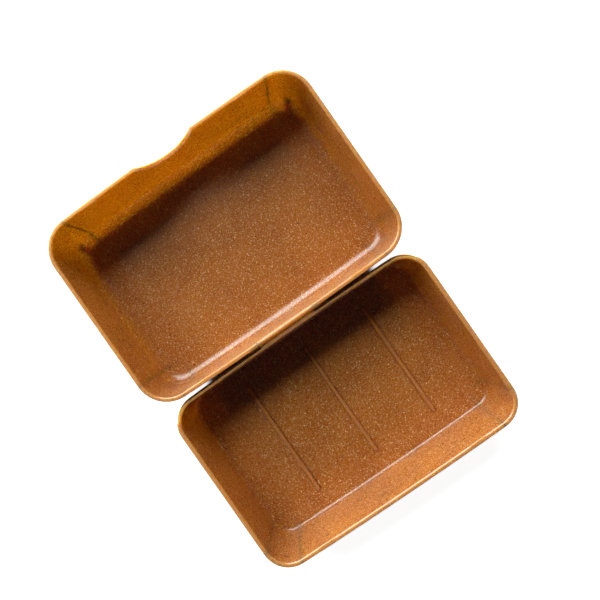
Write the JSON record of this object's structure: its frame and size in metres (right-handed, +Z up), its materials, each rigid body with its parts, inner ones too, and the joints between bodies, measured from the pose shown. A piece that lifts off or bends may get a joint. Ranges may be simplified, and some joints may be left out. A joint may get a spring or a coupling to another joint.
{
  "type": "travel soap box",
  "caption": "Hinged travel soap box of brown fibre-filled bioplastic, lying open: ribbed base tray and larger lid with thumb notch.",
  "frame": {"origin": "centre of the flat underside of the base tray, on the table", "axes": "+X along the long side of the base, +Y from the base towards the hinge and the open lid, +Z up"},
  "size_m": [0.1012, 0.1374, 0.0212],
  "materials": {
    "base_plastic": "semi-gloss translucent with pale wood-fibre specks",
    "lid_plastic": "semi-gloss translucent with pale wood-fibre specks"
  },
  "bodies": {
    "base_body": {"base": "base_plastic"},
    "lid_body": {"lid": "lid_plastic"}
  },
  "joints": [
    {"name": "lid_hinge", "type": "hinge", "parent": "base_body", "child": "lid_body", "pos_m": [0, 0.03445, 0.02], "axis": [1, 0, 0], "range_deg": [0, 180]}
  ]
}
